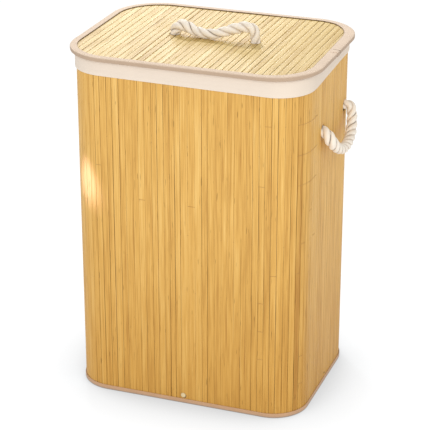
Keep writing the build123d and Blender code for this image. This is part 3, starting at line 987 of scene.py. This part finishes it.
def make_threads():
    """The tying threads: they show over a slat here and there, and in nicks between slats."""
    rng = random.Random(23)
    build = Build()
    for row in range(THREAD_ROWS):
        height = THREAD_FIRST + row * THREAD_PITCH
        for name, place, half in mat:
            if rng.random() < thread_chance(name, place(0, height, 0), row):
                shape = OVER_SLAT
            elif rng.random() < 0.3:
                shape = IN_NICK
            else:
                continue
            line = [place(u * half, height, w * MM) for u, w in shape]
            near = min(hypot(line[2].y - hole.y, height - hole.z) for hole in SIDE_HOLES)
            if abs(line[2].x) < FACE_X - 5 * MM or near > 16 * MM:
                bead(build, line)
    keep(build.object("mat_threads_woven", THREAD), "basket", "thread", "mat_threads")


make_threads()


# ---- tapes

def mm_pairs(pairs):
    return [(a * MM, b * MM) for a, b in pairs]


def cloth_ripple(size, seed):
    """A slight unevenness for a cloth edge, smooth from place to place."""
    def ripple(point, inset, height):
        spot = Vector((point.x * 22 + seed, point.y * 22, height * 160))
        return noise.noise(spot) * size, noise.noise(spot + Vector((31, 7, 3))) * size * 0.5
    return ripple


def make_bottom_binding():
    profile = mm_pairs([
        (-0.35, 8.25), (-0.95, 8.0), (-1.25, 7.3), (-1.1, 6.3), (-1.2, 4.5), (-1.15, 2.4), (-0.95, 0.9), (-0.4, 0.15),
        (0.5, 0.0), (3.0, 0.0), (3.5, 0.3), (3.6, 1.2), (3.6, 7.6), (3.3, 8.0), (2.95, 7.8), (2.85, 7.2),
        (2.85, 1.0), (2.6, 0.85), (0.15, 0.85), (-0.05, 1.1), (-0.05, 7.6),
    ])
    # Painted shade: the lower part of the tape's face, its underside and its inner face take the darker side colour
    edges = [0, 0, 0, 0, 0, 0.15, 0.45, 0.6] + [0.6] * 13
    build = ring(Outline(FACE_X, FACE_Y, BODY_CORNER, 2), profile, cloth_ripple(0.12 * MM, 3), edges)
    keep(build.object("bottom_binding_tape", TAN_TAPE), "basket", "tan_tape", "bottom_binding")


LAP = 12 * MM
LAP_MORE = (3, 4.5)  # mm wider on the right: everywhere, and besides towards the back

# The lid tape's section, from its top lap's inner edge round to its bottom lap and back inside: (inset, height,
# edge).
# An edge of a half gives the side band and underside painted shade, and 1 gives the lap's inner lip a painted shadow.
LID_PROFILE = [
    (12.05, 598.3, 1), (12.2, 598.9, 1), (12.1, 599.5, 0.9), (11.3, 599.9, 0), (9, 600.0, 0), (5, 600.05, 0),
    (2.2, 599.9, 0), (0.9, 599.5, 0), (0.2, 598.8, 0.35), (0.0, 597.6, 0.5), (-0.05, 596.2, 0.5), (0.0, 594.8, 0.5),
    (0.25, 593.6, 0.55), (0.9, 592.95, 0.6), (2, 592.7, 0.5), (7, 592.7, 0.5), (11.6, 592.75, 0.5), (12, 593.0, 0.5),
    (11.6, 593.25, 0.5), (2, 593.3, 0.5), (0.95, 593.6, 0.5), (0.75, 594.4, 0.5), (0.75, 597.0, 0.5), (1.1, 598.0, 1),
    (2.0, 598.2, 1), (11.0, 598.2, 1),
]


def lap_ripple(point, inset, height):
    """The lid tape's unevenness. Its top lap is wider on the lid's right side, most of all towards the back."""
    more, lift = cloth_ripple(0.2 * MM, 9)(point, inset, height)
    if height > 598 * MM:
        side = min(1.0, max(0.0, (point.x / LID_X - 0.8) / 0.2))
        back = 0.5 + 0.5 * point.y / LID_Y
        more += side * (LAP_MORE[0] + LAP_MORE[1] * back) * MM * max(0.0, inset / LAP) ** 1.5
    return more, lift


def make_lid_binding():
    profile = mm_pairs([(inset, height) for inset, height, _ in LID_PROFILE])
    edges = [edge for _, _, edge in LID_PROFILE]
    build = ring(Outline(LID_X, LID_Y, LID_CORNER, 2), profile, lap_ripple, edges)
    keep(build.object("lid_binding_tape", LID_TAPE), "lid", "lid_tape", "lid_binding")


JOIN_START, JOIN_LENGTH, JOIN_ROWS = -9, 14, 12
JOIN_PUFF = 0.25 * MM
JOIN_SHOULDER = 599 * MM


def make_tape_join():
    """Where the lid tape's two ends meet: the upper one laps over, folded under at its end, with a painted shadow
    along that end.
    """
    build = Build()
    shape = mm_pairs([
        (12.1, 598.5), (12.55, 599.0), (12.3, 599.9), (11.4, 600.35), (9, 600.5), (5, 600.55), (2.2, 600.4),
        (0.6, 599.8), (-0.3, 598.9), (-0.55, 597.4), (-0.6, 596.2), (-0.55, 594.8), (-0.2, 593.4), (0.6, 592.6),
        (2, 592.3),
    ])
    rows, coords = [], []
    for k in range(JOIN_ROWS + 1):
        y = (JOIN_START + JOIN_LENGTH * k / JOIN_ROWS) * MM
        puff = JOIN_PUFF * sin(pi * k / JOIN_ROWS)
        row = []
        for inset, height in shape:
            outward, upward = puff * (height < JOIN_SHOULDER), puff * (height > JOIN_SHOULDER)
            row.append(Vector((LID_X - inset + outward, y, height + upward)))
        rows.append(row)
        # Painted shadow at the folded end, and painted shade on the side band
        painted_shadow = 1.0 if k > JOIN_ROWS - 2 else 0.0
        coords.append([(y, j * MM, 0, max(painted_shadow, 0.5 if j > 7 else 0)) for j in range(len(shape))])
    build.grid(rows, coords)
    piece = build.object("lid_tape_join", LID_TAPE)
    thicken(piece, 0.45 * MM, -1)
    keep(piece, "lid", "lid_tape")


make_bottom_binding()
make_lid_binding()
make_tape_join()


# ---- liner

CLOTH = 0.9 * MM
CUFF_OUT = 1.8 * MM
LINER_INSET = 6.9 * MM
LINER_CORNER = 81 * MM
POCKET_X = 174.5 * MM
POCKET_DEPTH = 41.5 * MM
POCKET_WIDE = 25.5 * MM
WALL_ROWS = 64
RIM_ROLL = 2.4 * MM


def hem_height(point):
    """The cuff's hem: a little high at the front left and low at the front right."""
    right = point.x / FACE_X
    front = max(0.0, -point.y / FACE_Y)
    back = max(0.0, (point.y / FACE_Y + 0.5) / 1.5)
    lift = 7 * MM * back * max(0.0, right) - 2.0 * MM * right * front
    return CUFF_HEM + lift + noise.noise(Vector((point.x * 9, point.y * 9, 1.7))) * 0.7 * MM


def make_liner():
    """The cotton bag: floor, walls with soft folds, pockets over the knots, and the cuff turned out over the rim."""
    inner = Outline(FACE_X - LINER_INSET, FACE_Y - LINER_INSET, LINER_CORNER - LINER_INSET)
    outer = Outline(FACE_X, FACE_Y, BODY_CORNER)
    pockets = [(place, sign) for _, sign in SIDES for place in beside(POCKET_X, sign)]
    floor = LINER_FLOOR + CLOTH / 2
    rim = CUFF_TOP - CLOTH / 2
    rows = []
    middle = Vector((0, 0, floor))

    # The floor, from its middle outwards
    for share in (0.03, 0.12, 0.25, 0.4, 0.55, 0.7, 0.82, 0.92, 0.975):
        row = []
        for i in range(inner.count):
            edge = inner.at(i, CLOTH / 2, floor)
            point = middle.lerp(edge, share)
            fold = noise.noise(Vector((point.x * 17, point.y * 17, 4.1)))
            crease = abs(noise.noise(Vector((point.x * 9, point.y * 11, 8.3))))
            point.z = floor + (0.6 + 1.6 * fold + 2.4 * max(0, 0.25 - crease)) * MM * sin(pi * share) ** 0.5
            point.z = max(point.z, floor)
            row.append(point)
        rows.append(row)
    # The walls, with a pocket pushed in round each side knot
    for k in range(WALL_ROWS + 1):
        share = k / WALL_ROWS
        height = floor + 0.4 * MM + (rim - 6 * MM - floor) * share
        hang = sin(pi * min(1, share * 1.04)) ** 0.6
        row = []
        for i in range(inner.count):
            point = inner.at(i, CLOTH / 2, height)
            folds = noise.noise(Vector((point.x * 15, point.y * 15, height * 2.2)))
            soft = noise.noise(Vector((point.x * 6, point.y * 6, height * 5 + 3)))
            sag = max(0.0, 0.9 + 1.5 * folds + 1.2 * soft) * 1.9 * MM * hang
            for place, sign in pockets:
                away = hypot(point.y - place.y, height - place.z)
                if point.x * sign > 0.1 and away < 60 * MM:
                    bulge = POCKET_DEPTH * exp(-((away / POCKET_WIDE) ** 2.6))
                    sag = max(sag, bulge * abs(inner.normals[i].x) + sag * 0.4)
            row.append(inner.at(i, CLOTH / 2 + sag, height))
        rows.append(row)
    # Over the rim
    for lift, share in ((2.6, 0.06), (0.9, 0.22), (0.15, 0.45), (0.0, 0.62), (0.1, 0.8), (0.75, 0.93), (2.2, 1.0)):
        z = rim - lift * MM
        ends = [(inner.at(i, CLOTH / 2, z), outer.at(i, CLOTH / 2 - CUFF_OUT, z)) for i in range(inner.count)]
        rows.append([inside.lerp(outside, share) for inside, outside in ends])
    # The cuff, down to its hem, and the hem's turned-in edge
    for share in (0.12, 0.25, 0.4, 0.55, 0.68, 0.72, 0.86, 0.97, 1.0):
        row = []
        for i in range(outer.count):
            point = outer.at(i, 0, 0)
            hem = hem_height(point)
            height = rim - RIM_ROLL + (hem + 0.3 * MM - rim + RIM_ROLL) * share
            wave = noise.noise(Vector((point.x * 13, point.y * 13, height * 24)))
            puff = (0.35 * wave + 0.25 * sin(pi * share)) * MM
            fold = 0.2 * MM if share > 0.7 else 0.0
            row.append(outer.at(i, CLOTH / 2 - CUFF_OUT - max(puff, -0.05 * MM) - fold, height))
        rows.append(row)
    rows.append([outer.at(i, -1.0 * MM, hem_height(outer.at(i, 0, 0)) + 0.1 * MM) for i in range(outer.count)])

    flat = [0.0]
    for above, below in zip(rows, rows[1:]):
        flat.append(flat[-1] + (above[0] - below[0]).length)
    build = Build()
    build.grid(rows, [[(s, t, 0, 0) for s in outer.along] for t in flat], wrap_columns=True)
    hub = len(build.points)
    build.points.append(middle)
    for i in range(inner.count):
        build.faces.append([hub, (i + 1) % inner.count, i])
        build.tag([(0, 0, 0, 0), (outer.along[i + 1], flat[0], 0, 0), (outer.along[i], flat[0], 0, 0)])
    piece = build.object("cotton_liner", COTTON, 80)
    thicken(piece, CLOTH * 0.9)
    keep(piece, "basket", "cream_cotton", "liner_bag")


make_liner()


# ---- stitches and straps

STITCH_LENGTH = 2.4 * MM
STITCH_WIDE = 0.55 * MM
STITCH_HIGH = 0.3 * MM
STITCH_PITCH = 3.4 * MM


def stitch(build, middle, along, out):
    """One stitch: a short rounded stroke of thread lying on a surface."""
    across = along.cross(out).normalized()
    rows, coords = [], []
    for share, size in ((-0.5, 0.25), (-0.38, 0.8), (0, 1), (0.38, 0.8), (0.5, 0.25)):
        point = middle + along * STITCH_LENGTH * share
        row = []
        for k in range(6):
            t = pi * k / 5
            rise = sin(t) * STITCH_HIGH * size - 0.05 * MM
            row.append(point + across * cos(t) * STITCH_WIDE / 2 * size + out * rise)
        rows.append(row)
        coords.append([(share * STITCH_LENGTH, k * STITCH_WIDE / 5, 0, 0) for k in range(7)])
    build.tube(rows, coords)


STRAP_WIDTH = 60 * MM
STRAP_THICK = 0.6 * MM
STRAP_STEP = 1.5 * MM
STRAP_COLUMNS = 20
STRAP_PATH = mm_pairs([
    (150.75, 532), (150.75, 545), (150.75, 557), (151.1, 560), (151.9, 563), (152.3, 566), (152.3, 576), (152.3, 585),
    (152.3, 588), (152.2, 589.4), (151.8, 590.6), (151.1, 591.6), (150.2, 592.15), (149, 592.3), (146, 592.3),
    (140, 592.3), (130, 592.3), (112, 592.3),
])


def make_strap(name, middle):
    """A webbing strap: sewn to the mat at its foot, over the rim, and sewn under the lid."""
    line = evenly([Vector((0, y, z)) for y, z in STRAP_PATH], STRAP_STEP)
    rows, coords = [], []
    for i, point in enumerate(line):
        out = RIGHT.cross(tangent_at(line, i))
        row, tags = [], []
        for k in range(STRAP_COLUMNS + 1):
            x = STRAP_WIDTH * (k / STRAP_COLUMNS - 0.5)
            rib = 0.04 * MM * cos(tau * k / 4)
            row.append(Vector((middle + x, 0, 0)) + point - out * rib)
            tags.append((x, i * STRAP_STEP, 0, 0))
        rows.append(row)
        coords.append(tags)
    build = Build()
    build.grid(rows, coords)
    piece = build.object(name, WEBBING, 80)
    thicken(piece, STRAP_THICK * 0.85)
    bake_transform(piece)
    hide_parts("hinge_lower_leaves", "hinge_upper_leaves")
    line_length(line)


def box_stitches(build, centre, across, along, out, width, height):
    """A sewn box with a cross in it."""
    corners = [(-1, -1), (1, -1), (1, 1), (-1, 1)]
    lines = list(zip(corners, corners[1:] + corners[:1])) + [((-1, -1), (1, 1)), ((1, -1), (-1, 1))]
    for (a, b), (c, d) in lines:
        start = centre + across * (a * width / 2) + along * (b * height / 2)
        end = centre + across * (c * width / 2) + along * (d * height / 2)
        run = end - start
        count = round(run.length / STITCH_PITCH)
        for k in range(count):
            stitch(build, start + run * ((k + 0.5) / count), run.normalized(), out)


def make_straps():
    under, behind = Build(), Build()
    for name, x in (("hinge_strap_left", -110 * MM), ("hinge_strap_right", 110 * MM)):
        make_strap(name, x)
        foot = Vector((x, 151.02 * MM, 544 * MM))
        box_stitches(behind, foot, RIGHT, UP, BACK, 50 * MM, 17 * MM)
        top = Vector((x, 123 * MM, 592.04 * MM))
        box_stitches(under, top, RIGHT, BACK, -UP, 50 * MM, 16 * MM)
    keep(behind.object("strap_foot_stitches", STITCH), "basket", "thread")
    keep(under.object("strap_lid_stitches", STITCH), "lid", "thread")


make_straps()


# ---- rivets

DOME_SIDES = 28


def dome(build, centre, out, radius, rise):
    """A round head, flat-edged and domed, standing out from a place."""
    across = UP.cross(out)
    rows, coords = [], []
    for share, height in ((0.97, 0.0), (1.0, 0.2), (0.93, 0.42), (0.8, 0.6), (0.55, 0.82), (0.3, 0.95), (0.02, 1.0)):
        rows.append(circle(centre + out * rise * height, across, UP, radius * share, DOME_SIDES))
        coords.append([(share, tau * k / DOME_SIDES, 0, 0) for k in range(DOME_SIDES + 1)])
    build.tube(rows, coords)


def make_rivets():
    """Cream rivets front and back, each with a dark ring of painted shadow beside it, and a small brown nail at each
    side.
    """
    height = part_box("hoop_rivets")[0].z + 3.5 * MM
    # The second build gathers the painted shadow discs and the side nails
    heads, holes = Build(), Build()
    for side in (-1, 1):
        out = Vector((0, side, 0))
        centre = out * FACE_Y + UP * height
        dome(heads, centre, out, 4.4 * MM, 2.6 * MM)
        # Painted shadow: a dark disc just proud of the slats, off to one side beneath the rivet head
        dome(holes, centre + Vector((1.3 * -side, 0, -1.3)) * MM, out, 4.3 * MM, 0.12 * MM)
        out = Vector((side, 0, 0))
        dome(holes, out * FACE_X + Vector((0, 8 * MM, height)), out, 1.7 * MM, 0.7 * MM)
    keep(heads.object("rivet_heads", RIVET, 40), "basket", "cream_rivet", "hoop_rivets")
    keep(holes.object("nail_heads_and_shadows", DARK_NAIL_AND_SHADOW, 40), "basket", "cream_rivet")


make_rivets()


# ---- CAD nodes and floor

CAD_LOOKS = {
    "mat_backing": BACKING_AND_GAP_SHADE, "top_binding": TOP_TAPE, "bottom_hoop": HOOP_WOOD, "top_hoop": HOOP_WOOD,
    "base_cloth": BASE_CLOTH, "base_board": BOARD, "support_rods": ROD_WOOD, "bottom_rod_sockets": SOCKET,
    "top_rod_sockets": SOCKET, "cuff_hook_pads": HOOK_TAPE, "cuff_loop_pads": HOOK_TAPE,
    "right_handle_washers": WASHER, "left_handle_washers": WASHER, "lid_handle_washers": WASHER,
    "lid_board": BOARD, "lid_lining": LINING,
}
for name, look in CAD_LOOKS.items():
    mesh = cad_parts[name].data
    mesh.materials.clear()
    mesh.materials.append(look)


FLOOR_REACH = 6
# The floor glows, its brightness by how open it is, from close under the hamper out to the open: a painted contact
# shadow
FLOOR_SHADE = [(0.35, (0.47, 0.475, 0.48)), (0.7, (0.87, 0.875, 0.88)), (0.95, (1, 1, 1))]


def make_floor():
    made, tree = new_material("floor")
    haze = patchy(tree, object_place(tree), 3)
    near = node(tree, "AmbientOcclusion", {"Distance": 0.15}, samples=24)
    shade = ramp(tree, near.outputs["AO"], FLOOR_SHADE)
    finish_material(
        made, Base_Color=mix(tree, haze, (0.09, 0.095, 0.1), (0.1, 0.105, 0.11)), Roughness=0.9,
        Emission_Color=shade, Emission_Strength=0.96, Specular_IOR_Level=0.0,
    )
    mesh = bpy.data.meshes.new("floor")
    corners = [(x * FLOOR_REACH, y * FLOOR_REACH, 0) for x, y in ((-1, -1), (1, -1), (1, 1), (-1, 1))]
    mesh.from_pydata(corners, [], [(0, 1, 2, 3)])
    mesh.materials.append(made)
    add("floor", mesh)


make_floor()
